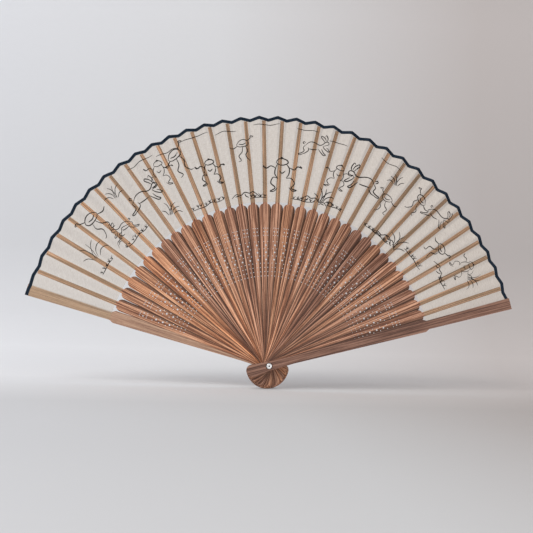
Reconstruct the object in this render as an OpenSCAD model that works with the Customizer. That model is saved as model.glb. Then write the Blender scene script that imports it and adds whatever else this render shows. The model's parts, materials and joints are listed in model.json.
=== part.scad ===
// Folding hand fan with pierced sandalwood ribs and a short cloth leaf, shown fully open.
// The rivet axis runs along Y through the origin, and +Z is halfway between the two guards.
// The front guard lies at the lowest Y, and each bone to its left lies one layer further back.

/* [Bones] */
// Inner ribs between the two guards, an odd number
rib_count = 33; // [31:2:35]
// Mean angle between neighbouring bones of the open fan, in degrees
bone_step = 4.36; // [4.2:0.01:4.45]
// How far the middle bones lean to the right of an even spread, in degrees
spread_lean = 2.4; // [0:0.1:2.6]
// Extra lean at a sixth and at five sixths of the spread, in degrees
spread_wave = 0.65; // [0:0.05:0.7]
// Distance between neighbouring rib layers along the rivet
layer_pitch = 0.64; // [0.6:0.01:0.8]
// Thickness of a rib's pierced body
body_thick = 0.6; // [0.4:0.01:0.6]
// Thickness of a rib's slip, the narrow strip that carries the cloth
slip_thick = 0.34; // [0.25:0.01:0.36]
// Thickness of a guard
guard_thick = 2; // [1.5:0.1:3]

/* [Radii from the rivet] */
// Bottom of the rounded heads
head_radius = 18.8; // [17:0.1:21]
// Waist, where a bone is narrowest
waist_radius = 20; // [16:1:24]
// Rounded top of a rib's body
body_radius = 133; // [130:0.5:134]
// Outer edge of the fan
tip_radius = 206; // [200:1:212]

/* [Widths] */
// Head of a rib
rib_head_w = 10.4; // [9:0.1:11]
// Rib at the rivet
rib_rivet_w = 6.9; // [6.5:0.1:8]
// Rib at its waist
rib_waist_w = 5.8; // [5:0.1:6.4]
// Rib's body at its widest, just under the rounded top
rib_body_w = 9.7; // [9:0.1:9.8]
// Slip where it leaves the body
slip_root_w = 3.8; // [3.4:0.1:4]
// Slip at the outer edge
slip_tip_w = 3.4; // [3:0.1:3.6]
// Head of a guard
guard_head_w = 9.8; // [9:0.1:11]
// Guard at the rivet
guard_rivet_w = 7; // [6.8:0.1:8]
// Guard at its waist
guard_waist_w = 5.9; // [5:0.1:6.4]
// Guard at its widest, just under its shoulder
guard_body_w = 10.2; // [9.8:0.1:10.6]
// Guard just past its shoulder
guard_neck_w = 7; // [6.5:0.1:8]
// Guard at the outer edge
guard_tip_w = 9.2; // [8.4:0.1:10]

/* [Rivet] */
// Outside diameter of the hollow rivet
rivet_d = 2.8; // [2.4:0.1:3]
// Diameter of the hole through the rivet
rivet_hole_d = 1.3; // [1:0.1:1.4]
// Diameter of the washers under the rivet's two ends
washer_d = 4.8; // [4.6:0.1:5.4]
// Diameter of the rolled ends of the rivet
rivet_head_d = 4.4; // [3.8:0.1:4.6]
// Diameter of the round recess in each guard that takes the washer and the rolled end
recess_d = 5.8; // [5.6:0.1:6]
// Gap between the rivet and the bores of the bones
rivet_clearance = 0.04; // [0.03:0.01:0.08]

/* [Piercing] */
// Diameter of the large holes
large_hole_d = 1.45; // [1.2:0.05:1.6]
// Diameter of the pair of holes near the rounded top
pair_hole_d = 1.25; // [1:0.05:1.4]
// Diameter of the small holes
small_hole_d = 0.8; // [0.6:0.05:0.9]
// Distance between hole rows along the rib
row_pitch = 2.97; // [2.8:0.01:3]
// Radius of the innermost row of the large-hole group
main_rows_radius = 83.9; // [83:0.1:85]
// Radius of the middle row of the top group
top_rows_radius = 109.8; // [109:0.1:110.5]

/* [Cloth] */
// Inner edge of the leaf
leaf_inner_radius = 134.4; // [134.2:0.1:136]
// Thickness of the leaf's cloth
cloth_thick = 0.12; // [0.08:0.01:0.12]
// Width of the binding along the outer edge
binding_w = 2.7; // [2:0.1:3.2]
// How far the outer edge dips at every valley of the pleats
edge_dip = 1.4; // [0.8:0.1:2.4]

/* [Hidden] */
face_gap = 0.04;
bone_count = rib_count + 2;
middle_bone = (bone_count - 1) / 2;
stack_half = (rib_count - 1) / 2 * layer_pitch + body_thick / 2 + face_gap;
guard_y = stack_half + guard_thick / 2;
outer_y = stack_half + guard_thick;
bore_d = rivet_d + 2 * rivet_clearance;
washer_thick = 0.3;
rolled_end = 0.5;
recess_depth = washer_thick + rolled_end + 0.1;
floor_y = outer_y - recess_depth;
shoulder_r = (rib_body_w - slip_root_w) / 2;
slip_end = tip_radius - edge_dip / 2 - binding_w - 0.2;
side_column = 1.6;
leaf_lap = 1.2;
cloth_gap = 0.03;
round_fn = 48;

function two_digits(i) = str(i < 10 ? "0" : "", i);
rib_names = [for (i = [1:rib_count]) str("rib_", two_digits(i))];

// Bones are numbered from 0, the front guard, to bone_count - 1, the back guard.
function bone_angle(i) =
    let (turn = 180 * i / (bone_count - 1))
    (middle_bone - i) * bone_step + spread_lean * sin(turn) + spread_wave * sin(3 * turn);
function rib_y(i) = (i - middle_bone) * layer_pitch;

// A flat outline, drawn with +Y from the rivet to the tip, as a plate of a bone of the open fan
module bone_plate(i, y, thick) {
    rotate([0, bone_angle(i), 0]) translate([0, y, 0]) rotate([90, 0, 0])
        linear_extrude(thick, center = true) children();
}

// Round head and tapering lower part, which ribs and guards share
module lower_outline(head_w, rivet_w, waist_w, body_w, top) {
    head_y = head_w / 2 - head_radius;
    translate([0, head_y]) circle(d = head_w, $fn = round_fn);
    polygon([[-head_w / 2, head_y], [head_w / 2, head_y], [rivet_w / 2, 0],
        [waist_w / 2, waist_radius], [body_w / 2, top], [-body_w / 2, top],
        [-waist_w / 2, waist_radius], [-rivet_w / 2, 0]]);
}

// Rib body with a rounded shoulder on each side of the slip
module rib_body_outline() {
    shoulder_y = body_radius - shoulder_r;
    lower_outline(rib_head_w, rib_rivet_w, rib_waist_w, rib_body_w, shoulder_y);
    translate([-slip_root_w / 2, shoulder_y]) square([slip_root_w, shoulder_r]);
    for (side = [-1, 1])
        translate([side * slip_root_w / 2, shoulder_y])
            intersection() {
                circle(r = shoulder_r, $fn = round_fn);
                translate([-shoulder_r, 0]) square([2 * shoulder_r, shoulder_r]);
            }
}

module slip_outline() {
    polygon([[-slip_root_w / 2, body_radius - 1], [slip_root_w / 2, body_radius - 1],
        [slip_tip_w / 2, slip_end], [-slip_tip_w / 2, slip_end]]);
}

module hole_at(x, r, d) {
    translate([x, r]) circle(d = d, $fn = 24);
}

// Pierced pattern: a top group round a pair of holes, then large holes on the centre line
// between pairs of small ones, then three rows of small pairs
module piercing() {
    for (x = [-1.3, 1.3]) hole_at(x, top_rows_radius, pair_hole_d);
    for (row = [-1, 1], x = [-1.8, 0, 1.8])
        hole_at(x, top_rows_radius + row * row_pitch, small_hole_d);
    for (k = [0:2:6], side = [-1, 1])
        hole_at(side * side_column, main_rows_radius + k * row_pitch, small_hole_d);
    for (k = [1:2:5]) hole_at(0, main_rows_radius + k * row_pitch, large_hole_d);
    for (k = [1:3], side = [-1, 1])
        hole_at(side * 1.25, main_rows_radius - k * 3.5, small_hole_d);
}

module rib(i) {
    color(i % 3 == 0 ? "#b08468" : i % 3 == 1 ? "#a97a5c" : "#b98a6a") {
        bone_plate(i, rib_y(i), body_thick)
            difference() {
                rib_body_outline();
                circle(d = bore_d, $fn = round_fn);
                piercing();
            }
        bone_plate(i, rib_y(i), slip_thick) slip_outline();
    }
}

module guard_outline() {
    lower_outline(guard_head_w, guard_rivet_w, guard_waist_w, guard_body_w, body_radius - 1.5);
    polygon([[-guard_body_w / 2, body_radius - 1.5], [guard_body_w / 2, body_radius - 1.5],
        [guard_neck_w / 2, body_radius + 1.5], [guard_tip_w / 2, tip_radius],
        [-guard_tip_w / 2, tip_radius], [-guard_neck_w / 2, body_radius + 1.5]]);
}

// Guard with the rivet's recess in its outer face, which is the side given as -1 or 1 along Y
module guard(i, side) {
    y = side * guard_y;
    color("#8f6a50") {
        bone_plate(i, y - side * recess_depth / 2, guard_thick - recess_depth)
            difference() {
                guard_outline();
                circle(d = bore_d, $fn = round_fn);
            }
        bone_plate(i, side * (floor_y + recess_depth / 2), recess_depth)
            difference() {
                guard_outline();
                circle(d = recess_d, $fn = round_fn);
            }
    }
}

// A disc or ring on the rivet axis, from depth y_from to y_to
module ring(d, hole_d, y_from, y_to) {
    translate([0, y_to, 0]) rotate([90, 0, 0])
        difference() {
            cylinder(d = d, h = y_to - y_from, $fn = round_fn);
            translate([0, 0, -1])
                cylinder(d = hole_d, h = y_to - y_from + 2, $fn = round_fn);
        }
}

// Tube through every bone, rolled outward over the washers at both ends
module rivet() {
    end_y = floor_y + washer_thick + rolled_end;
    tube_r = rivet_d / 2;
    bead_r = rolled_end / 2;
    bead_centre = rivet_head_d / 2 - bead_r;
    half_profile = end_y - rolled_end;
    color("silver") rotate([90, 0, 0])
        difference() {
            union() {
                cylinder(r = tube_r, h = 2 * half_profile, center = true, $fn = round_fn);
                for (side = [-1, 1]) {
                    translate([0, 0, side * (half_profile + bead_r)])
                        cylinder(r = bead_centre, h = rolled_end, center = true, $fn = round_fn);
                    translate([0, 0, side * (half_profile + bead_r)])
                        rotate_extrude($fn = round_fn)
                            translate([bead_centre, 0]) circle(r = bead_r, $fn = 24);
                }
            }
            cylinder(d = rivet_hole_d, h = 2 * end_y + 2, center = true, $fn = round_fn);
        }
}

module washer_front() {
    color("gainsboro")
        ring(washer_d, bore_d, -floor_y - washer_thick, -floor_y);
}

module washer_back() {
    color("gainsboro")
        ring(washer_d, bore_d, floor_y, floor_y + washer_thick);
}

// The leaf's stations, as [angle, depth of its front face, dip of the outer edge]. The leaf lies
// flat on the front of each slip and steps back one layer between two slips. It starts on the
// inner face of the front guard and ends on the back guard's. The edge dips at every valley.
function leaf_y(i) =
    i == bone_count - 1 ? stack_half - cloth_gap - cloth_thick :
    i == 0 ? cloth_gap - stack_half :
    rib_y(i) - slip_thick / 2 - cloth_gap - cloth_thick;
function lap_angle(i, side) =
    i == 0 || i == bone_count - 1 ? side * leaf_lap : (bone_angle(i) - bone_angle(i + side)) / 4;
leaf_stations = [for (i = [0:bone_count - 1], side = [-1, 1])
    [bone_angle(i) - lap_angle(i, side), leaf_y(i), side < 0 ? edge_dip : 0]];

function polar_point(angle, r, y) = [r * sin(angle), y, r * cos(angle)];

// Sheet of the cloth's thickness through the leaf's stations, between two radii. Each radius
// loses the given share of the edge's dip.
module pleated_sheet(r_from, dip_from, r_to, dip_to) {
    n = len(leaf_stations);
    points = [for (s = leaf_stations)
        let (inner = r_from - dip_from * s[2], outer = r_to - dip_to * s[2])
        each [polar_point(s[0], inner, s[1]),
            polar_point(s[0], outer, s[1]),
            polar_point(s[0], outer, s[1] + cloth_thick),
            polar_point(s[0], inner, s[1] + cloth_thick)]];
    sides = [for (k = [0:n - 2], e = [0:3])
        let (a = 4 * k + e, b = 4 * k + (e + 1) % 4)
        each [[a, b, b + 4], [a, b + 4, a + 4]]];
    last = 4 * (n - 1);
    ends = [[2, 1, 0], [3, 2, 0], [last, last + 1, last + 2], [last, last + 2, last + 3]];
    polyhedron(points, concat(sides, ends));
}

module leaf() {
    color("#e6dfd3") pleated_sheet(leaf_inner_radius, 0, tip_radius - binding_w, 1);
}

module leaf_binding() {
    color("#22303c") pleated_sheet(tip_radius - binding_w, 1, tip_radius, 1);
}

guard(0, -1);  // guard_front
for (i = [1:rib_count]) rib(i);
guard(bone_count - 1, 1);  // guard_back
rivet();
washer_front();
washer_back();
leaf();
leaf_binding();
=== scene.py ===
"""Looks of an open folding fan: pierced wooden ribs, pleated cloth leaf with ink drawings, dark binding."""
import json
import math
import random

import bpy
import numpy as np
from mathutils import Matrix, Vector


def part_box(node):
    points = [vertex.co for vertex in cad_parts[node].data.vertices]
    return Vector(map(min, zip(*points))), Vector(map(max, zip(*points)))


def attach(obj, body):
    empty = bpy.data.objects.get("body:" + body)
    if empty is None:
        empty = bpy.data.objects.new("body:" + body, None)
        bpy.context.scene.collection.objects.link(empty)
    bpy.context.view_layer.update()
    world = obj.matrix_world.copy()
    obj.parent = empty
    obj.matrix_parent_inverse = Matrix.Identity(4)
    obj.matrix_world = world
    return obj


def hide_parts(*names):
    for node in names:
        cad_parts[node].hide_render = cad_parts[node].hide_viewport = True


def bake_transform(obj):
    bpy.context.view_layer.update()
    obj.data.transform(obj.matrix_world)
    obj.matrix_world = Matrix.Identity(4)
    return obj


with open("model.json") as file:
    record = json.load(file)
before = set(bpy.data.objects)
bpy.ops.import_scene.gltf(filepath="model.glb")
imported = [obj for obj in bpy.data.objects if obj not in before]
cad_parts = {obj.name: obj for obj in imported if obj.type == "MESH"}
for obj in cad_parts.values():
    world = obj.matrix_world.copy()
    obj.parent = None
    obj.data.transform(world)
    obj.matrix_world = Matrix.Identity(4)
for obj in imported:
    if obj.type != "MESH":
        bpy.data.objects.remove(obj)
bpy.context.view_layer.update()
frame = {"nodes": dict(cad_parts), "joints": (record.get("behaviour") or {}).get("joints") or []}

MM = 0.001

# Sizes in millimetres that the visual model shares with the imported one
HEAD_RADIUS = 18.8
HEAD_W = 10.4
HEAD_CENTRE = HEAD_RADIUS - HEAD_W / 2
RIVET_W = 6.9
WAIST_RADIUS = 20.0
WAIST_W = 5.8
BODY_RADIUS = 133.0
SLIP_ROOT_W = 3.8
SLIP_TIP_W = 3.4
TIP_RADIUS = 206.0
EDGE_DIP = 1.4
BINDING_W = 2.7
SLIP_BELOW_BINDING = 0.2
SLIP_END = TIP_RADIUS - EDGE_DIP / 2 - BINDING_W - SLIP_BELOW_BINDING
LEAF_INNER = 134.4
GUARD_NECK_W = 7.0
GUARD_TIP_W = 9.2

# Sizes of its own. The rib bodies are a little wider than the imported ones, their shoulders are longer,
# and the ribs are thinner
BODY_W = 10.1
SHOULDER_RISE = 4.6
BODY_THICK = 0.46
SLIP_THICK = 0.28
BORE_D = 2.9
EDGE_ROUND = 0.12
SLIP_OVERLAP = 2
SLIP_ROWS = 18
GUARD_EDGE_ROUND = 0.25
GUARD_SHARP_ANGLE = 40

# Rows of holes in a rib's body, by their distance from the rivet, and the holes' diameters, which are
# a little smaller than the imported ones
TOP_HOLES = 109.8
MIDDLE_HOLES = 83.9
HOLE_PITCH = 2.97
LOWER_PITCH = 3.5
SMALL_HOLE = 0.72
PAIRED_HOLE = 1.0
LARGE_HOLE = 1.4

# The pleats twist every slip, and the twist fades towards the rivet and towards the flat guards.
# It grows by a share of the full twist with each bone from a guard
FULL_TWIST = math.radians(29)
TWIST_PER_BONE = 0.152
FLAT_BONES = 0.4
# Share of the full twist that stands for a panel's tilt in its flat size
TILT_SHARE = 0.55

# Leaf: distance in front of a slip, or off a guard's face, and the folds' places across a panel
GLUE = 0.04
GUARD_GLUE = 0.05
FIRST_FOLD = 0.25
LAST_FOLD = 0.75
FREE_SPAN = LAST_FOLD - FIRST_FOLD
FREE_PLACES = [FIRST_FOLD + FREE_SPAN * k / 8 for k in range(1, 8)]
ROWS = 20
CLOTH_BELOW_RIM = 0.4
LEAF_OUTER = TIP_RADIUS - CLOTH_BELOW_RIM
OVERHANG_INSET = 0.15
# Section of the binding, as (from the rim, from the cloth's middle)
BINDING_SECTION = [(-BINDING_W, -0.11), (-0.15, -0.15), (0.0, 0.0), (-0.15, 0.15), (-BINDING_W, 0.11)]

# Ink: height above the cloth, margin to its inner edge, and line widths
INK_LIFT = 0.05
INK_MARGIN = 0.1
STROKE_END_SHARE = 0.35
GROUND_LINE = 0.7
GRASS_LINE = 0.5
UPPER_LINE = 0.6
TUFT_SPACING = 3.6

# Random draws: their seeds, and how a rib's tone rises from front to back and varies
RIB_SEED = 7
INK_SEED = 11
TONE_FRONT = 0.43
TONE_RISE = 0.42
TONE_SPREAD = 0.2

# Wood, per millimetre across, along and through the bone
STREAK_STRETCH = (0.95, 0.012, 0.95)
BAND_STRETCH = (0.3, 0.012, 0.3)
PORE_STRETCH = (5.0, 0.22, 5.0)
STREAK_SCALE = 1.3
STREAK_STOPS = (0.4, 0.5, 0.6)
BAND_STRENGTH = 0.4
BAND_TINT = (0.62, 0.52, 0.47)
PORE_STRENGTH = 0.7
PORE_TINTS = [(0.34, (0.62, 0.55, 0.5)), (0.46, (1.0, 1.0, 1.0))]
# The most that a rib's grain is moved, across and along, so that the ribs differ
GRAIN_SHIFT = (60.0, 900.0)
# Light and dark stripes that fade out with distance from the rivet, weaker on the heads
STRIPE_TINTS = [(0.0, (0.5, 0.46, 0.44)), (1.0, (1.5, 1.42, 1.35))]
STRIPE_START = 1.3
STRIPE_LENGTH = 60.0
HEAD_STRIPE_CUT = 0.6
HEAD_FROM = -1.0
WOOD_BUMP = (0.25, 0.0002)
WOOD_GLOSS = 0.35
WOOD_ROUGH = (0.42, 0.62)

# Painted shade on a rib's front face beside the edge of the bone in front, where the step between them lies
# in shade: width as a share of the radius, and its limits
PAINTED_SHADE_TINT = (0.04, 0.016, 0.008)
PAINTED_SHADE_SHARE = 0.03
PAINTED_SHADE_NARROWEST = 0.05
PAINTED_SHADE_WIDEST = 2.7
PAINTED_SHADE_FALL = 0.75
PAINTED_SHADE_EDGE = 0.1
PAINTED_SHADE_FROM_RIVET = 2.0
HEAD_PAINTED_SHADE_W = 0.75
HEAD_PAINTED_SHADE_STRENGTH = 0.35
PAINTED_SHADE_LIMIT = 0.99
FRONT_FACE = 0.1

# Cloth, per millimetre across and along
SLUB_STRETCH = (2.2, 0.25, 1.0)
CROSS_STRETCH = (0.3, 2.6, 1.0)
CLOTH_STOPS = (0.35, 0.62)
WEAVE_SCALE = 6.0
CLOTH_BUMP = (0.25, 0.00008)
CLOTH_GLOSS = 0.2
CLOTH_SHEEN = 0.15
CLOTH_ROUGH = (0.8, 0.95)

# Tape, ink and metal
SPECKLE_SCALE = 900.0
METAL_SPECKLE_SCALE = 600.0
SPECKLE_STOPS = (0.3, 0.7)
SPECKLE_BUMP = (0.15, 0.00005)
SPECKLE_GLOSS = 0.12

# Camera: metres, degrees and millimetres of lens
CAMERA_AT = (-0.0655, -0.7467, 0.0342)
CAMERA_TURN = (93.57, -1.66, -4.85)
LENS = 61.68
SENSOR_W = 36
NEAR_CLIP = 0.01

# Lights as name, place, power and colour. Both are squares that aim near the fan's middle
LIGHTS = [
    ("key", (-0.9, -1.5, 1.0), 26, (1.0, 0.985, 0.96)),
    ("fill", (0.7, -1.9, 0.15), 9, (1.0, 0.97, 0.95)),
]
LIGHT_AIM = (0, 0, 0.08)
LIGHT_SIDE = 1.2
SKY_COLOUR = (0.95, 0.97, 1.0, 1)
SKY_STRENGTH = 0.72

# Studio paper, in metres: a floor from behind the camera to a bend, and a wall
PAPER_FRONT = -6.0
WALL_AT = 2.3
WALL_BEND = 1.9
WALL_TOP = 3.6
PAPER_HALF_W = 5.0
BEND_STEPS = 12
# Painted light and shade on it: lighter on the left and darker on the right, roughly as the camera sees it,
# and a painted brightness by depth and by height
SIDE_PAINTED_LIGHT = [(0.0, (0.83, 0.84, 0.87)), (0.5, (0.78, 0.78, 0.79)), (1.0, (0.6, 0.55, 0.53))]
SIDE_SPREAD = 1.7
DEPTH_PAINTED_LIGHT = ((0.0, 0.64), (0.12, 0.67), (0.27, 0.96), (0.56, 1.08), (0.76, 1.0), (1.0, 0.95))
DEPTH_START = 0.35
DEPTH_SCALE = 0.6
WARM_GREY = (1.0, 0.99, 0.985)
HEIGHT_PAINTED_LIGHT = ((0.0, 1.0), (0.15, 0.93), (0.8, 1.15))
HEIGHT_SCALE = 0.8
FIBRE_SCALE = 60.0
FIBRE_STRENGTH = 0.06
FIBRE_TINT = (0.55, 0.55, 0.55)
PAPER_ROUGH = (0.85, 0.95)

# ---------------------------------------------------------------- bones, read from the frame

inner = sorted(n for n in frame["nodes"] if n.startswith("rib_"))
bones = ["guard_front"] + inner + ["guard_back"]
LAST = len(bones) - 1
middle = LAST // 2
opening = {j["child"]: math.radians(j["range_deg"][1]) for j in frame["joints"]}
gaps = [opening[bones[k]] if k < middle else opening[bones[k + 1]] for k in range(LAST)]
angles = [sum(gaps) / 2]
for gap in gaps:
    angles.append(angles[-1] - gap)


def depth_of(name):
    low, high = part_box(name)
    return (low.y + high.y) / 2 / MM


depths = [depth_of(name) for name in bones]


def twist(bone, r):
    from_guard = min(bone, LAST - bone)
    share = min(1.0, max(0.0, from_guard - FLAT_BONES) * TWIST_PER_BONE)
    return FULL_TWIST * share * (np.maximum(r, 0) / TIP_RADIUS) ** 2


def in_fan(angle, r, y, u=0.0):
    """Points at radius r along a bone's direction, u to its right, as rows of metres."""
    angle, r, y, u = np.broadcast_arrays(angle, r, y, u)
    x = r * np.sin(angle) + u * np.cos(angle)
    z = r * np.cos(angle) - u * np.sin(angle)
    return np.stack([x, y, z], -1) * MM


def on_bone(bone, u, r, t):
    """Points of a twisted rib: u to the right, r from the rivet, t to the back."""
    turn = twist(bone, r)
    across = u * np.cos(turn) - t * np.sin(turn)
    y = depths[bone] + u * np.sin(turn) + t * np.cos(turn)
    return in_fan(angles[bone], r, y, across)


def new_object(name, points, faces, materials, face_slots=None, grain=None, smooth=False):
    mesh = bpy.data.meshes.new(name)
    mesh.from_pydata(np.asarray(points).tolist(), [], [tuple(map(int, f)) for f in faces])
    for material in materials:
        mesh.materials.append(material)
    if face_slots is not None:
        mesh.polygons.foreach_set("material_index", face_slots)
    mesh.polygons.foreach_set("use_smooth", [smooth] * len(mesh.polygons))
    if grain is not None:
        layer = mesh.attributes.new("grain", "FLOAT_VECTOR", "POINT")
        layer.data.foreach_set("vector", np.asarray(grain, np.float32).ravel())
    mesh.update()
    thing = bpy.data.objects.new(name, mesh)
    bpy.context.scene.collection.objects.link(thing)
    return thing


# ---------------------------------------------------------------- materials


class Nodes:
    """Short ways to build a node material."""

    def __init__(self, name):
        self.material = bpy.data.materials.new(name)
        self.material.use_nodes = True
        self.tree = self.material.node_tree
        self.shader = self.tree.nodes["Principled BSDF"]

    def add(self, kind, **settings):
        node = self.tree.nodes.new(kind)
        for key, value in settings.items():
            setattr(node, key, value)
        return node

    def wire(self, source, target):
        self.tree.links.new(source, target)

    def value(self, operation, a, b=0.0, clamp=False):
        node = self.add("ShaderNodeMath", operation=operation, use_clamp=clamp)
        for socket, given in zip(node.inputs, (a, b)):
            if isinstance(given, (int, float)):
                socket.default_value = given
            else:
                self.wire(given, socket)
        return node.outputs[0]

    def scaled(self, vector, factors):
        node = self.add("ShaderNodeVectorMath", operation="MULTIPLY")
        self.wire(vector, node.inputs[0])
        node.inputs[1].default_value = factors
        return node.outputs[0]

    def noise(self, vector, scale, detail, rough=0.55):
        node = self.add("ShaderNodeTexNoise")
        self.wire(vector, node.inputs["Vector"])
        node.inputs["Scale"].default_value = scale
        node.inputs["Detail"].default_value = detail
        node.inputs["Roughness"].default_value = rough
        return node.outputs["Fac"]

    def ramp(self, factor, stops):
        node = self.add("ShaderNodeValToRGB")
        self.wire(factor, node.inputs[0])
        elements = node.color_ramp.elements
        while len(elements) < len(stops):
            elements.new(0.5)
        for element, (place, colour) in zip(elements, stops):
            element.position = place
            element.color = (*colour, 1)
        return node.outputs[0]

    def mix(self, factor, a, b, blend="MIX"):
        node = self.add("ShaderNodeMix", data_type="RGBA", blend_type=blend)
        for socket, given in zip((node.inputs[0], node.inputs[6], node.inputs[7]), (factor, a, b)):
            if isinstance(given, (int, float)):
                socket.default_value = given
            elif isinstance(given, tuple):
                socket.default_value = (*given, 1)
            else:
                self.wire(given, socket)
        return node.outputs[2]

    def bump(self, height, strength, distance):
        node = self.add("ShaderNodeBump")
        node.inputs["Strength"].default_value = strength
        node.inputs["Distance"].default_value = distance
        self.wire(height, node.inputs["Height"])
        self.wire(node.outputs[0], self.shader.inputs["Normal"])

    def finish(self, colour, rough, rough_noise):
        self.wire(colour, self.shader.inputs["Base Color"])
        spread = self.add("ShaderNodeMapRange")
        self.wire(rough_noise, spread.inputs[0])
        spread.inputs["To Min"].default_value, spread.inputs["To Max"].default_value = rough
        self.wire(spread.outputs[0], self.shader.inputs["Roughness"])
        return self.material


def grain_vector(nodes):
    return nodes.add("ShaderNodeAttribute", attribute_name="grain").outputs["Vector"]


def turned_vector(nodes, angle):
    """The mesh's own place, turned so that Y runs along a bone at this angle, in millimetres."""
    place = nodes.add("ShaderNodeTexCoord").outputs["Object"]
    turn = nodes.add("ShaderNodeVectorRotate", rotation_type="Y_AXIS")
    nodes.wire(place, turn.inputs["Vector"])
    turn.inputs["Angle"].default_value = -angle
    split = nodes.add("ShaderNodeSeparateXYZ")
    nodes.wire(turn.outputs[0], split.inputs[0])
    join = nodes.add("ShaderNodeCombineXYZ")
    nodes.wire(split.outputs[0], join.inputs[0])
    nodes.wire(split.outputs[2], join.inputs[1])
    nodes.wire(split.outputs[1], join.inputs[2])
    return nodes.scaled(join.outputs[0], (1 / MM, 1 / MM, 1 / MM))


def wood(name, vector_from, dark, mid, light, tones=None):
    """Straight-grained wood: fine streaks along the bone, broad bands, short dark pores.

    With tones it is the ribs' wood, which also has a tone and stripes of each rib's own, and painted shade
    beside the edge of the bone in front.
    """
    nodes = Nodes(name)
    vector = vector_from(nodes)
    own = nodes.add("ShaderNodeAttribute", attribute_name="stripe", attribute_type="OBJECT").outputs["Fac"]
    shift = nodes.add("ShaderNodeCombineXYZ")
    nodes.wire(nodes.value("MULTIPLY", own, GRAIN_SHIFT[0]), shift.inputs[0])
    nodes.wire(nodes.value("MULTIPLY", own, GRAIN_SHIFT[1]), shift.inputs[1])
    moved = nodes.add("ShaderNodeVectorMath", operation="ADD")
    nodes.wire(vector, moved.inputs[0])
    nodes.wire(shift.outputs[0], moved.inputs[1])
    grain = moved.outputs[0]
    streaks = nodes.noise(nodes.scaled(grain, STREAK_STRETCH), STREAK_SCALE, 4.0, 0.7)
    colour = nodes.ramp(streaks, list(zip(STREAK_STOPS, (dark, mid, light))))
    bands = nodes.noise(nodes.scaled(grain, BAND_STRETCH), 1.0, 2.0)
    colour = nodes.mix(nodes.value("MULTIPLY", bands, BAND_STRENGTH), colour, BAND_TINT, "MULTIPLY")
    pores = nodes.noise(nodes.scaled(grain, PORE_STRETCH), 1.0, 2.0, 0.4)
    colour = nodes.mix(PORE_STRENGTH, colour, nodes.ramp(pores, PORE_TINTS), "MULTIPLY")
    if tones:
        tone = nodes.add("ShaderNodeAttribute", attribute_name="tone", attribute_type="OBJECT")
        colour = nodes.mix(1.0, colour, nodes.ramp(tone.outputs["Fac"], tones), "MULTIPLY")
        striped = nodes.mix(1.0, colour, nodes.ramp(own, STRIPE_TINTS), "MULTIPLY")
        colour = nodes.mix(stripe_share(nodes, vector), colour, striped)
        # Painted shade on the front face beside the edge and head of the bone in front
        colour = nodes.mix(painted_shade_share(nodes, vector), colour, PAINTED_SHADE_TINT)
    nodes.bump(streaks, *WOOD_BUMP)
    nodes.shader.inputs["Specular IOR Level"].default_value = WOOD_GLOSS
    return nodes.finish(colour, WOOD_ROUGH, bands)


def stripe_share(nodes, vector):
    """How strongly a rib's own stripe tint shows: most near the rivet, less on the head."""
    split = nodes.add("ShaderNodeSeparateXYZ")
    nodes.wire(vector, split.inputs[0])
    r = split.outputs[1]
    near_rivet = nodes.value("SUBTRACT", STRIPE_START, nodes.value("DIVIDE", r, STRIPE_LENGTH), True)
    on_head = nodes.value("LESS_THAN", r, HEAD_FROM)
    calm = nodes.value("SUBTRACT", 1.0, nodes.value("MULTIPLY", on_head, HEAD_STRIPE_CUT))
    return nodes.value("MULTIPLY", near_rivet, calm)


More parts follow.
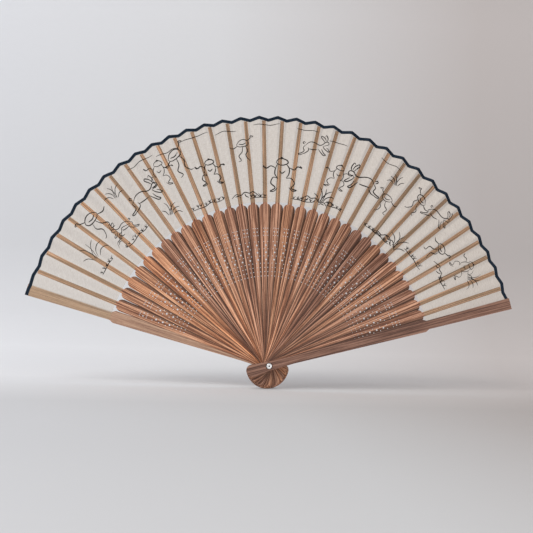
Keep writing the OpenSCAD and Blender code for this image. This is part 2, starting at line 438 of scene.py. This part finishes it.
def painted_shade_share(nodes, vector):
    """How far a rib's face lies in the painted shade beside the edge of the bone in front of it."""
    split = nodes.add("ShaderNodeSeparateXYZ")
    nodes.wire(vector, split.inputs[0])
    u, r, t = split.outputs
    gap = nodes.add("ShaderNodeAttribute", attribute_name="gap", attribute_type="OBJECT").outputs["Fac"]
    shift = nodes.value("MULTIPLY", r, gap)
    widening = (BODY_W - WAIST_W) / 2 / (BODY_RADIUS - SHOULDER_RISE - WAIST_RADIUS)
    above = nodes.value("ADD", nodes.value("MULTIPLY", r, widening), WAIST_W / 2 - WAIST_RADIUS * widening)
    closing = (RIVET_W - WAIST_W) / 2 / WAIST_RADIUS
    below = nodes.value("SUBTRACT", RIVET_W / 2, nodes.value("MULTIPLY", r, closing))
    half = nodes.value("MAXIMUM", above, below)
    shown = nodes.value("MINIMUM", nodes.value("SUBTRACT", shift, half),
                        nodes.value("SUBTRACT", half, PAINTED_SHADE_EDGE))
    to_edge = nodes.value("SUBTRACT", shown, u)
    reach = nodes.value("MINIMUM", nodes.value("MULTIPLY", r, PAINTED_SHADE_SHARE), PAINTED_SHADE_WIDEST)
    reach = nodes.value("MAXIMUM", reach, PAINTED_SHADE_NARROWEST)
    near = nodes.value("SUBTRACT", 1.0, nodes.value("DIVIDE", to_edge, reach), True)
    near = nodes.value("MULTIPLY", nodes.value("POWER", near, PAINTED_SHADE_FALL),
                       nodes.value("GREATER_THAN", r, PAINTED_SHADE_FROM_RIVET))

    # The same painted shade, weaker, beside the head of the bone in front, whose lower end is round
    taper = (HEAD_W - RIVET_W) / 2 / HEAD_CENTRE
    head_half = nodes.value("SUBTRACT", RIVET_W / 2, nodes.value("MULTIPLY", r, taper))
    past = nodes.value("SUBTRACT", u, nodes.value("ADD", head_half, shift))
    du = nodes.value("ADD", u, nodes.value("MULTIPLY", gap, HEAD_CENTRE))
    dr = nodes.value("ADD", r, HEAD_CENTRE)
    away = nodes.value("SQRT", nodes.value("ADD", nodes.value("POWER", du, 2.0),
                                           nodes.value("MULTIPLY", dr, dr)))
    round_past = nodes.value("SUBTRACT", away, HEAD_W / 2)
    low = nodes.value("LESS_THAN", r, -HEAD_CENTRE)
    past = nodes.value("ADD", nodes.value("MULTIPLY", round_past, low),
                       nodes.value("MULTIPLY", past, nodes.value("SUBTRACT", 1.0, low)))
    head = nodes.value("DIVIDE", nodes.value("ABSOLUTE", past), HEAD_PAINTED_SHADE_W)
    head = nodes.value("SUBTRACT", 1.0, head, True)
    head = nodes.value("MULTIPLY", head, nodes.value("LESS_THAN", r, -PAINTED_SHADE_FROM_RIVET))
    head = nodes.value("MULTIPLY", head, HEAD_PAINTED_SHADE_STRENGTH)

    front = nodes.value("LESS_THAN", t, FRONT_FACE)
    share = nodes.value("MULTIPLY", nodes.value("ADD", near, head), front)
    return nodes.value("MULTIPLY", share, PAINTED_SHADE_LIMIT, True)


def cloth(name, alpha, colour_low, colour_high):
    """Thin plain-woven cloth."""
    nodes = Nodes(name)
    vector = grain_vector(nodes)
    slubs = nodes.noise(nodes.scaled(vector, SLUB_STRETCH), 1.0, 4.0)
    across = nodes.noise(nodes.scaled(vector, CROSS_STRETCH), 1.0, 3.0)
    both = nodes.value("MULTIPLY", nodes.value("ADD", slubs, across), 0.5)
    colour = nodes.ramp(both, list(zip(CLOTH_STOPS, (colour_low, colour_high))))
    weave = nodes.noise(vector, WEAVE_SCALE, 2.0)
    nodes.bump(weave, *CLOTH_BUMP)
    nodes.shader.inputs["Alpha"].default_value = alpha
    nodes.shader.inputs["Specular IOR Level"].default_value = CLOTH_GLOSS
    nodes.shader.inputs["Sheen Weight"].default_value = CLOTH_SHEEN
    return nodes.finish(colour, CLOTH_ROUGH, slubs)


def speckled(name, low, high, metallic, rough, scale=SPECKLE_SCALE):
    """A near-even surface with fine mottling, in the piece's own place."""
    nodes = Nodes(name)
    place = nodes.add("ShaderNodeTexCoord").outputs["Object"]
    fine = nodes.noise(place, scale, 4.0)
    colour = nodes.ramp(fine, list(zip(SPECKLE_STOPS, (low, high))))
    nodes.bump(fine, *SPECKLE_BUMP)
    nodes.shader.inputs["Metallic"].default_value = metallic
    nodes.shader.inputs["Specular IOR Level"].default_value = SPECKLE_GLOSS
    return nodes.finish(colour, rough, fine)


RIB_TONES = [
    (0.0, (0.58, 0.50, 0.53)), (0.3, (0.82, 0.72, 0.72)), (0.55, (0.98, 0.86, 0.82)),
    (0.8, (1.14, 1.0, 0.88)), (1.0, (1.14, 0.88, 0.68)),
]
rib_wood = wood("rib_wood", grain_vector,
                (0.10, 0.036, 0.018), (0.305, 0.152, 0.084), (0.68, 0.435, 0.295), RIB_TONES)
front_wood = wood("front_guard_wood", lambda nodes: turned_vector(nodes, angles[0]),
                  (0.075, 0.032, 0.02), (0.17, 0.08, 0.053), (0.30, 0.165, 0.115))
back_wood = wood("back_guard_wood", lambda nodes: turned_vector(nodes, angles[LAST]),
                 (0.22, 0.12, 0.08), (0.37, 0.22, 0.145), (0.50, 0.33, 0.23))
open_cloth = cloth("open_cloth", 0.7, (0.425, 0.378, 0.332), (0.575, 0.52, 0.465))
glued_cloth = cloth("glued_cloth", 0.3, (0.44, 0.335, 0.205), (0.58, 0.45, 0.29))
binding_tape = speckled("binding_tape", (0.004, 0.009, 0.017), (0.012, 0.023, 0.038), 0.0, (0.7, 0.9))
ink_black = speckled("ink_black", (0.005, 0.004, 0.004), (0.016, 0.012, 0.010), 0.0, (0.6, 0.8))
bright_metal = speckled("bright_metal", (0.62, 0.62, 0.62), (0.82, 0.82, 0.82), 1.0, (0.22, 0.4),
                        METAL_SPECKLE_SCALE)
dark_metal = speckled("dark_metal", (0.10, 0.095, 0.09), (0.18, 0.175, 0.17), 1.0, (0.35, 0.5),
                      METAL_SPECKLE_SCALE)

# ---------------------------------------------------------------- ribs


def stretch(a, b, longest=4.0):
    """Points from a up to but not including b, no further apart than the given length."""
    count = max(1, math.ceil(math.dist(a, b) / longest))
    return [(a[0] + (b[0] - a[0]) * k / count, a[1] + (b[1] - a[1]) * k / count) for k in range(count)]


def arc(centre, radius, first, last, count):
    turns = [math.radians(first + (last - first) * k / count) for k in range(count + 1)]
    return [(centre[0] + radius * math.cos(a), centre[1] + radius * math.sin(a)) for a in turns]


def rib_outline():
    shoulder = (BODY_W - SLIP_ROOT_W) / 2
    rise = SHOULDER_RISE / shoulder
    right = arc((0, -HEAD_CENTRE), HEAD_W / 2, -90, 0, 10)
    right += stretch((HEAD_W / 2, -HEAD_CENTRE), (RIVET_W / 2, 0))[1:]
    right += stretch((RIVET_W / 2, 0), (WAIST_W / 2, WAIST_RADIUS))
    right += stretch((WAIST_W / 2, WAIST_RADIUS), (BODY_W / 2, BODY_RADIUS - SHOULDER_RISE))
    right += [(x, BODY_RADIUS - SHOULDER_RISE + y * rise)
              for x, y in arc((SLIP_ROOT_W / 2, 0), shoulder, 0, 90, 9)]
    left = [(-x, y) for x, y in reversed(right[1:])]
    return right + left


def piercing():
    """Holes as (across, along, diameter): top group, large ones between pairs, lower pairs, rivet's bore."""
    found = [(u, TOP_HOLES, PAIRED_HOLE) for u in (-1.3, 1.3)]
    found += [(u, TOP_HOLES + row * HOLE_PITCH, SMALL_HOLE) for row in (-1, 1) for u in (-1.8, 0, 1.8)]
    found += [(u, MIDDLE_HOLES + row * HOLE_PITCH, SMALL_HOLE) for row in (0, 2, 4, 6) for u in (-1.6, 1.6)]
    found += [(0, MIDDLE_HOLES + row * HOLE_PITCH, LARGE_HOLE) for row in (1, 3, 5)]
    found += [(u, MIDDLE_HOLES - row * LOWER_PITCH, SMALL_HOLE) for row in (1, 2, 3) for u in (-1.25, 1.25)]
    return found + [(0, 0, BORE_D)]


def pierced_plate():
    """The flat pierced body of a rib, as points (across, along, towards the front) and faces."""
    curve = bpy.data.curves.new("rib_outline", "CURVE")
    curve.dimensions = "2D"
    curve.fill_mode = "BOTH"
    curve.bevel_depth = EDGE_ROUND
    curve.bevel_resolution = 1
    curve.offset = -EDGE_ROUND
    curve.extrude = BODY_THICK / 2 - EDGE_ROUND
    loops = [rib_outline()]
    for u, r, d in piercing():
        loops.append(list(reversed(arc((u, r), d / 2, 0, 360, 14 if d < 2 else 24)[:-1])))
    for loop in loops:
        spline = curve.splines.new("POLY")
        spline.points.add(len(loop) - 1)
        for point, (x, y) in zip(spline.points, loop):
            point.co = (x, y, 0, 1)
        spline.use_cyclic_u = True
    holder = bpy.data.objects.new("rib_outline", curve)
    bpy.context.scene.collection.objects.link(holder)
    evaluated = holder.evaluated_get(bpy.context.evaluated_depsgraph_get())
    mesh = bpy.data.meshes.new_from_object(evaluated)
    points = np.array([v.co for v in mesh.vertices])
    faces = [tuple(p.vertices) for p in mesh.polygons]
    bpy.data.objects.remove(holder)
    bpy.data.meshes.remove(mesh)
    bpy.data.curves.remove(curve)
    return points, faces


def slip_strip():
    """The narrow strip that carries the cloth, as points (across, along, towards the front) and faces."""
    start = BODY_RADIUS - SLIP_OVERLAP
    rows = np.linspace(start, SLIP_END, SLIP_ROWS)
    half = np.interp(rows, [start, SLIP_END], [SLIP_ROOT_W / 2, SLIP_TIP_W / 2])
    points = [(u * w, r, t * SLIP_THICK / 2) for r, w in zip(rows, half)
              for u, t in ((-1, 1), (1, 1), (1, -1), (-1, -1))]
    faces = [(4 * k + e, 4 * k + (e + 1) % 4, 4 * k + 4 + (e + 1) % 4, 4 * k + 4 + e)
             for k in range(len(rows) - 1) for e in range(4)]
    last = 4 * (len(rows) - 1)
    faces += [(3, 2, 1, 0), (last, last + 1, last + 2, last + 3)]
    return np.array(points), faces


def build_ribs():
    plate, plate_faces = pierced_plate()
    strip, strip_faces = slip_strip()
    points = np.concatenate([plate, strip])
    faces = plate_faces + [tuple(v + len(plate) for v in f) for f in strip_faces]
    u, r, front = points.T
    dice = random.Random(RIB_SEED)
    for bone in range(1, LAST):
        name = bones[bone]
        grain = np.stack([u, r, -front], 1)
        rib = new_object(name + "_wood", on_bone(bone, u, r, -front), faces, [rib_wood], grain=grain)
        usual = TONE_FRONT + TONE_RISE * (bone / LAST) ** 2
        rib["tone"] = min(1.0, max(0.0, dice.gauss(usual, TONE_SPREAD)))
        rib["stripe"] = dice.random()
        rib["gap"] = gaps[bone - 1]
        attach(rib, name)
        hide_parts(name)


# ---------------------------------------------------------------- guards and rivet


def dress_guards_and_rivet():
    for name, material in (("guard_front", front_wood), ("guard_back", back_wood)):
        guard = frame["nodes"][name]
        guard.data.materials.clear()
        guard.data.materials.append(material)
        soft = guard.modifiers.new("soft_edges", "BEVEL")
        soft.width = GUARD_EDGE_ROUND * MM
        soft.segments = 2
        soft.limit_method = "ANGLE"
        soft.angle_limit = math.radians(GUARD_SHARP_ANGLE)
    metals = {"rivet": bright_metal, "washer_front": dark_metal, "washer_back": dark_metal}
    for name, material in metals.items():
        piece = frame["nodes"][name]
        piece.data.materials.clear()
        piece.data.materials.append(material)


# ---------------------------------------------------------------- leaf


def slip_front(bone, r):
    """Depth of the cloth on a bone's axis: just in front of the slip, or on a guard's inner face."""
    if bone == 0:
        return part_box("guard_front")[1].y / MM + GUARD_GLUE + 0 * r
    if bone == LAST:
        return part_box("guard_back")[0].y / MM - GUARD_GLUE + 0 * r
    return depths[bone] - (SLIP_THICK / 2 + GLUE) / np.cos(twist(bone, r))


def slip_facet(bone, off, r):
    """Depth of the cloth at an angle off to the left of a bone's axis."""
    return slip_front(bone, r) - r * off * np.tan(twist(bone, r))


def slip_edge(r):
    """Angle from a slip's axis to its edge."""
    half = np.interp(r, [BODY_RADIUS, TIP_RADIUS], [SLIP_ROOT_W / 2, SLIP_TIP_W / 2])
    return half / r


def edge_radius(panel, place):
    """Outer radius at a place 0 to 1 across a panel: high at left folds, low at right folds."""
    stops = [0.0 if panel == 0 else EDGE_DIP / 2, 0.0, EDGE_DIP, EDGE_DIP / 2]
    if panel == LAST - 1:
        stops = [EDGE_DIP / 2, 0.0, EDGE_DIP / 3, 0.0]
    return TIP_RADIUS - np.interp(place, [0.0, FIRST_FOLD, LAST_FOLD, 1.0], stops)


def cloth_point(panel, place, r):
    """Angle and depth of the leaf at a place 0 to 1 across a panel, at radius r."""
    near, far = panel, panel + 1
    gap = gaps[panel]
    angle = angles[near] - place * gap
    if place <= FIRST_FOLD:
        return angle, slip_facet(near, place * gap, r)
    if place >= LAST_FOLD:
        return angle, slip_facet(far, -(1 - place) * gap, r)
    first = slip_facet(near, FIRST_FOLD * gap, r)
    last = slip_facet(far, -(1 - LAST_FOLD) * gap, r)
    s = (place - FIRST_FOLD) / FREE_SPAN
    return angle, first + (last - first) * s * s * (3 - 2 * s)


def guard_overhang(r):
    """Angle from the back guard's axis to just inside its outer edge."""
    half = np.interp(r, [BODY_RADIUS, TIP_RADIUS], [GUARD_NECK_W / 2, GUARD_TIP_W / 2])
    return (half - OVERHANG_INSET) / r


def panel_columns(panel):
    """Places across a panel; a text stands for a slip's edge or the overhang past the back guard."""
    columns = [0.0] + (["near"] if panel > 0 else []) + [FIRST_FOLD] + FREE_PLACES + [LAST_FOLD]
    columns += ["far", 1.0] if panel < LAST - 1 else [1.0, "over"]
    return columns


def column_points(panel, column, radii_of):
    """Angle, depth and radius down one column of a panel."""
    probe = 1.0 if column in ("over", "far") else 0.0 if column == "near" else column
    r = radii_of(edge_radius(panel, probe))
    if column == "near":
        place = slip_edge(r) / gaps[panel]
    elif column == "far":
        place = 1 - slip_edge(r) / gaps[panel]
    else:
        place = probe + 0 * r
    if column in ("near", "far"):
        r = radii_of(edge_radius(panel, float(place[-1])))
    if column == "over":
        return angles[LAST] - guard_overhang(r), slip_front(LAST, r), r
    found = [cloth_point(panel, float(p), one) for p, one in zip(place, r)]
    angle, y = np.array(found).T
    return angle, y, r


def chord_ends(panel):
    """The two folds' places on the rim, at one depth."""
    first = angles[panel] - FIRST_FOLD * gaps[panel]
    last = angles[panel] - LAST_FOLD * gaps[panel]
    y = cloth_point(panel, 0.5, TIP_RADIUS)[1]
    return in_fan(first, TIP_RADIUS, y).tolist(), in_fan(last, TIP_RADIUS, y).tolist()


def join_to_bones(piece, panel):
    start, end = chord_ends(panel)
    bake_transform(piece)


def leaf_panel(panel):
    """The cloth between two bones, with the parts glued to them in a material of their own."""
    def down(outer):
        return np.linspace(LEAF_INNER, outer - CLOTH_BELOW_RIM, ROWS)

    columns = panel_columns(panel)
    points, grain = [], []
    for column in columns:
        angle, y, r = column_points(panel, column, down)
        points.append(in_fan(angle, r, y))
        grain.append(np.stack([-angle * r, r, 0 * r], 1))
    faces, slots = [], []
    for c in range(len(columns) - 1):
        pair = columns[c:c + 2]
        glued = pair in ([0.0, "near"], ["far", 1.0], [LAST_FOLD, 1.0], [1.0, "over"])
        for k in range(ROWS - 1):
            a = c * ROWS + k
            faces.append((a, a + 1, a + ROWS + 1, a + ROWS))
            slots.append(1 if glued else 0)
    name = f"leaf_panel_{panel + 1:02d}"
    piece = new_object(name, np.concatenate(points), faces, [open_cloth, glued_cloth], slots,
                       np.concatenate(grain))
    join_to_bones(piece, panel)
    return piece


def binding_piece(panel):
    """Tape folded over the leaf's outer edge, as a thin closed tube along a panel's rim."""
    inwards, through = np.array(BINDING_SECTION).T
    columns = panel_columns(panel)
    rings = []
    for column in columns:
        angle, y, r = column_points(panel, column, lambda outer: outer + inwards)
        rings.append(in_fan(angle, r, y + through))
    n = len(BINDING_SECTION)
    faces = [(c * n + e, c * n + (e + 1) % n, c * n + n + (e + 1) % n, c * n + n + e)
             for c in range(len(columns) - 1) for e in range(n)]
    last = n * (len(columns) - 1)
    faces += [tuple(range(n))[::-1], tuple(range(last, last + n))]
    piece = new_object(f"binding_{panel + 1:02d}", np.concatenate(rings), faces, [binding_tape])
    join_to_bones(piece, panel)
    return piece


# ---------------------------------------------------------------- ink drawings


def curve_through(points, step=0.6):
    """A smooth line through given points."""
    p = np.array(points, float)
    p = np.concatenate([[2 * p[0] - p[1]], p, [2 * p[-1] - p[-2]]])
    found = []
    for a, b, c, d in zip(p[:-3], p[1:-2], p[2:-1], p[3:]):
        count = max(2, int(np.hypot(*(c - b)) / step))
        t = np.linspace(0, 1, count, endpoint=False)[:, None]
        found.append(0.5 * (2 * b + (c - a) * t + (2 * a - 5 * b + 4 * c - d) * t ** 2
                            + (3 * b - a - 3 * c + d) * t ** 3))
    return np.concatenate([*found, p[-2:-1]])


# Each drawing is a list of strokes, points in millimetres: x to the right, y towards the rim
HARE = [
    [(-9, 1), (-6, 4), (-1, 5), (4, 4), (7, 5), (9, 7.5), (11.5, 8), (12.5, 6), (10.5, 4.6), (8, 3.5)],
    [(9.6, 8.6), (8, 11.5), (5, 13.5), (4.6, 12), (7, 9.5), (8.6, 7.6)],
    [(10.6, 8.4), (10.4, 11.5), (8.6, 14.6), (7.8, 13)],
    [(-9, 1), (-10.8, -1.5), (-9.6, -4.5), (-12, -7), (-15, -8.4), (-13.4, -9.2), (-10, -7.6)],
    [(-6.5, -1), (-5.6, -3.8), (-8, -6.5), (-11, -8)],
    [(-5.6, -2.6), (-1, -2.2), (3, -1)],
    [(7.6, 3.4), (9.6, 1), (13, -1), (15, -0.4), (13.6, 0.8), (11, 2.4)],
    [(4, 0), (7, -3), (10, -5.6), (12, -5), (9.4, -3), (7, 0.6)],
    [(-9.8, 2), (-11.6, 3), (-11, 4.4), (-9.2, 3.4)],
]
FROG = [
    [(-5, 9), (-3, 11.6), (0.5, 12), (3, 10.5), (3.6, 8.5), (1.4, 7.4), (-2, 7.2), (-5, 9)],
    [(-1.6, 11.6), (-1, 13), (0.6, 12.4)],
    [(-4, 8), (-6, 4), (-6.4, 0), (-4.4, -3)],
    [(2.6, 7.6), (4.4, 4), (4, 0), (2, -3)],
    [(-4.4, -3), (-8, -2), (-10, -6), (-7, -10), (-11, -12), (-8, -12.4), (-5, -10)],
    [(2, -3), (6, -3.4), (8.6, -7), (6, -10.6), (10.4, -12), (7, -12.6), (4, -10)],
    [(-5.6, 5), (-9, 7), (-12, 5.6), (-14.5, 7.6), (-13, 5)],
    [(4, 5), (8, 3.4), (10.6, 6), (13.6, 5), (12, 7)],
    [(-3, 3), (-1, 1), (1.6, 2.6)],
]
WADER = [
    [(-6, 6), (-3, 9), (1, 9.6), (4, 7.6), (3.4, 5), (0, 3.6), (-4, 4), (-6, 6)],
    [(3, 8.4), (6, 11), (6.4, 13), (8.6, 12.4), (7, 11.6)],
    [(-5, 5), (-9, 3), (-12, 4)],
    [(-1, 3.6), (-2, -1), (-5, -4), (-3.4, -8), (-6, -9)],
    [(1.4, 4), (3, 0), (1, -4), (3.4, -8), (5.4, -8.4)],
    [(-4, 6.4), (-1, 5.4), (2, 6.6)],
]
REEDS = [
    [(-5, -6), (-3, 0), (0, 5), (4, 8)],
    [(-4, -6), (-4, 0), (-6, 6), (-9, 9)],
    [(-2, -6), (0, -1), (4, 2), (8, 2.4)],
    [(-6, -6), (-9, -1), (-13, 1)],
    [(0, -6), (4, -3), (8, -3), (11, -5)],
    [(-3, -6), (-1.6, 2), (-2, 9)],
]
STONES = [
    [(-12, -2), (-8, 1), (-4, 0.4), (-1, 2.6), (3, 1.6), (6, 3), (10, 0), (13, -2)],
    [(-9, -1), (-6, -0.4), (-4.6, -2)],
    [(-1, 1.6), (0, -0.6), (2.4, -2)],
    [(5, 1.8), (5.6, 0), (8, -1.4)],
]


def tufts(dice, width):
    """Short blades of grass in small fans along a line."""
    blades = []
    for foot in np.arange(-width / 2 + 1.5, width / 2, TUFT_SPACING):
        foot += dice.uniform(-0.7, 0.7)
        for lean in (-1.7, -0.6, 0.5, 1.6):
            tall = dice.uniform(1.6, 3.4)
            bend = lean * dice.uniform(0.7, 1.2)
            blades.append([(foot, 0), (foot + bend * 0.3, tall * 0.6), (foot + bend, tall)])
    return blades


def ground(dice, width):
    """One uneven line along the ground."""
    count = max(3, int(width / 5))
    line = [(width * (k / count - 0.5), dice.uniform(-0.8, 0.8)) for k in range(count + 1)]
    return [line]


def place_strokes(strokes, degrees, radius, size=1.0, mirror=False, lean=0.0, *, width):
    """Strokes on the leaf as (angle, radius, half width) rows, thinner towards their ends."""
    placed = []
    c, s = math.cos(math.radians(lean)), math.sin(math.radians(lean))
    for stroke in strokes:
        line = curve_through(stroke) * size
        if mirror:
            line[:, 0] *= -1
        x = line[:, 0] * c + line[:, 1] * s
        y = line[:, 1] * c - line[:, 0] * s
        share = np.linspace(0, 1, len(line))
        fullness = np.sin(math.pi * share) ** 0.5
        half = width / 2 * (STROKE_END_SHARE + (1 - STROKE_END_SHARE) * fullness)
        placed.append(np.stack([math.radians(degrees) + x / radius, radius + y, half], 1))
    return placed


# Drawing, place in degrees from the fan's middle, radius, size, mirrored, lean in degrees, line width
FIGURES = [
    (REEDS, -58, 170, 1.0, False, 10, 0.66), (WADER, -52, 180, 1.25, True, -8, 0.92),
    (STONES, -50, 160, 0.9, False, -20, 0.64), (REEDS, -44, 190, 0.7, True, 25, 0.64),
    (HARE, -38, 171, 1.05, False, 12, 0.87), (REEDS, -33, 150, 0.7, False, 20, 0.64),
    (WADER, -25, 182, 1.2, False, -12, 0.9), (FROG, -18, 166, 0.85, False, 6, 0.9),
    (STONES, -9, 141, 1.0, False, 4, 0.77), (FROG, 3, 158, 1.1, False, -6, 0.96),
    (STONES, 14, 140.5, 1.0, True, 0, 0.77), (REEDS, 17.5, 146, 0.8, False, 0, 0.77),
    (HARE, 26, 170, 1.05, True, -16, 0.96), (REEDS, 33, 186, 0.6, True, -12, 0.64),
    (WADER, 41, 181, 0.95, True, 6, 0.77), (HARE, 47, 186, 0.8, False, 0, 0.74),
    (STONES, 41, 142, 1.0, False, 0, 0.77), (REEDS, 44, 147, 0.9, True, 8, 0.74),
    (WADER, 54, 167, 0.9, False, 24, 0.83), (STONES, 60, 160, 0.8, True, 16, 0.74),
    (REEDS, 66, 182, 0.7, False, 30, 0.57), (HARE, -48, 163, 0.75, True, 0, 0.66),
    (FROG, -31, 181, 0.85, False, 16, 0.66), (WADER, -8, 178, 0.95, False, 0, 0.74),
    (HARE, 10.5, 184, 0.85, False, 0, 0.74), (FROG, 18.5, 166, 0.8, True, 0, 0.7),
    (WADER, 34, 164, 0.9, True, -8, 0.7), (FROG, 62, 180, 0.75, False, 10, 0.61),
]
# Ground lines with grass, and upper lines without, as (degrees, radius, length)
GRASS_GROUNDS = [
    (-60, 154, 16), (-47, 150, 26), (-22, 141, 28), (-5, 138.5, 14), (10, 138.5, 18),
    (21, 140.5, 14), (38, 140, 26), (52, 148, 22), (63, 158, 12),
]
UPPER_GROUNDS = [
    (-34, 197, 24), (-27, 194, 20), (-20, 198, 26), (-12, 195.5, 18),
    (-2, 199, 22), (8, 197, 18), (16, 193, 16), (30, 196, 20),
]


def all_strokes():
    dice = random.Random(INK_SEED)
    found = []
    for *placing, width in FIGURES:
        found += place_strokes(*placing, width=width)
    for degrees, radius, length in GRASS_GROUNDS:
        found += place_strokes(ground(dice, length), degrees, radius, width=GROUND_LINE)
        found += place_strokes(tufts(dice, length), degrees, radius, width=GRASS_LINE)
    for degrees, radius, length in UPPER_GROUNDS:
        found += place_strokes(ground(dice, length), degrees, radius, width=UPPER_LINE)
    return found


def panel_of(angle):
    for k in range(LAST):
        if angles[k] >= angle > angles[k + 1]:
            return k
    return None


def breaks_between(a, b):
    """Shares along a step between two angles at which it crosses a bone's axis or a fold."""
    lines = [angles[k] - place * gaps[k] for k in range(LAST) for place in (0.0, FIRST_FOLD, LAST_FOLD)]
    return sorted((v - a) / (b - a) for v in lines if min(a, b) < v < max(a, b))


def ribbon_pieces():
    """Ink ribbons just in front of the cloth, cut at every bone and fold, per panel."""
    found = {k: ([], []) for k in range(LAST)}
    for stroke in all_strokes():
        fine = [stroke[0]]
        for a, b in zip(stroke[:-1], stroke[1:]):
            for share in breaks_between(a[0], b[0]):
                fine.append(a + (b - a) * share)
            fine.append(b)
        line = np.array(fine)
        flat = np.stack([line[:, 0] * line[:, 1], line[:, 1]], 1)
        ahead = np.gradient(flat, axis=0)
        ahead /= np.maximum(np.hypot(*ahead.T), 1e-6)[:, None]
        side = np.stack([-ahead[:, 1], ahead[:, 0]], 1) * line[:, 2:3]
        for k in range(len(line) - 1):
            panel = panel_of((line[k, 0] + line[k + 1, 0]) / 2)
            if panel is None:
                continue
            points, faces = found[panel]
            quad = []
            for j, sign in ((k, 1), (k, -1), (k + 1, -1), (k + 1, 1)):
                r = line[j, 1] + sign * side[j, 1]
                if not LEAF_INNER + INK_MARGIN < r < LEAF_OUTER - EDGE_DIP:
                    break
                angle = line[j, 0] + sign * side[j, 0] / r
                place = min(1.0, max(0.0, (angles[panel] - angle) / gaps[panel]))
                angle, y = cloth_point(panel, place, r)
                quad.append(in_fan(angle, r, y - INK_LIFT))
            if len(quad) == 4:
                faces.append(tuple(range(len(points), len(points) + 4)))
                points.extend(quad)
    return found


def build_leaf():
    ink = ribbon_pieces()
    panels = []
    for panel in range(LAST):
        piece = leaf_panel(panel)
        tape = binding_piece(panel)
        extras = [tape]
        points, faces = ink[panel]
        if faces:
            drawn = new_object(f"ink_{panel + 1:02d}", points, faces, [ink_black])
            join_to_bones(drawn, panel)
            extras.append(drawn)
        panels.append((piece, extras))
    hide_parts("leaf")
    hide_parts("leaf_binding")
    for panel, (piece, extras) in enumerate(panels):
        span = gaps[panel] * TIP_RADIUS * MM
        length = (LEAF_OUTER - LEAF_INNER) * MM
        tilt = math.cos(TILT_SHARE * FULL_TWIST)
        area = gaps[panel] * (TIP_RADIUS ** 2 - LEAF_INNER ** 2) / 2 * MM * MM / tilt
        if panel == LAST - 1:
            span += GUARD_TIP_W / 2 * MM
            area += (GUARD_NECK_W + GUARD_TIP_W) / 4 * MM * length


# ---------------------------------------------------------------- floor, backdrop, light, camera


def backdrop():
    """A pale floor that curves up into a wall, with painted light and shade on it."""
    floor_z = -HEAD_RADIUS * MM
    bend_from = WALL_AT - WALL_BEND
    profile = [(PAPER_FRONT, floor_z), (bend_from, floor_z)]
    for k in range(1, BEND_STEPS + 1):
        a = math.radians(90 * k / BEND_STEPS)
        profile.append((bend_from + WALL_BEND * math.sin(a), floor_z + WALL_BEND * (1 - math.cos(a))))
    profile.append((WALL_AT, WALL_TOP))
    points = [(x, y, z) for y, z in profile for x in (-PAPER_HALF_W, PAPER_HALF_W)]
    faces = [(2 * k, 2 * k + 1, 2 * k + 3, 2 * k + 2) for k in range(len(profile) - 1)]
    nodes = Nodes("studio_paper")
    place = nodes.add("ShaderNodeTexCoord").outputs["Object"]
    split = nodes.add("ShaderNodeSeparateXYZ")
    nodes.wire(place, split.inputs[0])
    # Painted light and shade across: lighter to the left, darker to the right
    away = nodes.value("MAXIMUM", nodes.value("ADD", split.outputs[1], -CAMERA_AT[1]), 0.5)
    sideways = nodes.value("DIVIDE", split.outputs[0], away)
    across = nodes.value("ADD", nodes.value("MULTIPLY", sideways, SIDE_SPREAD), 0.5, True)
    colour = nodes.ramp(across, SIDE_PAINTED_LIGHT)
    # Painted light and shade by depth: darker on the floor near the camera, lighter behind the fan, where
    # its shadow and the light's falloff fall
    depth = nodes.value("ADD", split.outputs[1], DEPTH_START)
    back = nodes.value("MULTIPLY", depth, DEPTH_SCALE, True)
    shade = nodes.ramp(back, [(level, tuple(grey * w for w in WARM_GREY)) for level, grey in DEPTH_PAINTED_LIGHT])
    colour = nodes.mix(1.0, colour, shade, "MULTIPLY")
    # Painted light by height: a little darker just above the floor, lighter towards the top of the wall
    up = nodes.value("MULTIPLY", split.outputs[2], HEIGHT_SCALE, True)
    rise = nodes.ramp(up, [(level, (grey, grey, grey)) for level, grey in HEIGHT_PAINTED_LIGHT])
    colour = nodes.mix(1.0, colour, rise, "MULTIPLY")
    fibres = nodes.noise(place, FIBRE_SCALE, 3.0)
    colour = nodes.mix(nodes.value("MULTIPLY", fibres, FIBRE_STRENGTH), colour, FIBRE_TINT)
    paper = nodes.finish(colour, PAPER_ROUGH, fibres)
    new_object("studio_paper", points, faces, [paper], smooth=True)


def area_light(name, at, power, colour):
    lamp = bpy.data.lights.new(name, "AREA")
    lamp.shape = "RECTANGLE"
    lamp.size = lamp.size_y = LIGHT_SIDE
    lamp.energy = power
    lamp.color = colour
    thing = bpy.data.objects.new(name, lamp)
    bpy.context.scene.collection.objects.link(thing)
    thing.location = at
    aim = np.array(LIGHT_AIM) - np.array(at)
    thing.rotation_mode = "QUATERNION"
    thing.rotation_quaternion = Vector(aim).to_track_quat("-Z", "Y")


def light_and_camera():
    for light in LIGHTS:
        area_light(*light)
    bpy.context.scene.view_settings.view_transform = "Standard"
    world = bpy.data.worlds.new("studio")
    world.use_nodes = True
    sky = world.node_tree.nodes["Background"]
    sky.inputs["Color"].default_value = SKY_COLOUR
    sky.inputs["Strength"].default_value = SKY_STRENGTH
    bpy.context.scene.world = world
    data = bpy.data.cameras.new("camera")
    data.lens = LENS
    data.sensor_width = SENSOR_W
    data.clip_start = NEAR_CLIP
    camera = bpy.data.objects.new("camera", data)
    bpy.context.scene.collection.objects.link(camera)
    camera.location = CAMERA_AT
    camera.rotation_euler = [math.radians(a) for a in CAMERA_TURN]
    bpy.context.scene.camera = camera


build_ribs()
dress_guards_and_rivet()
build_leaf()
backdrop()
light_and_camera()
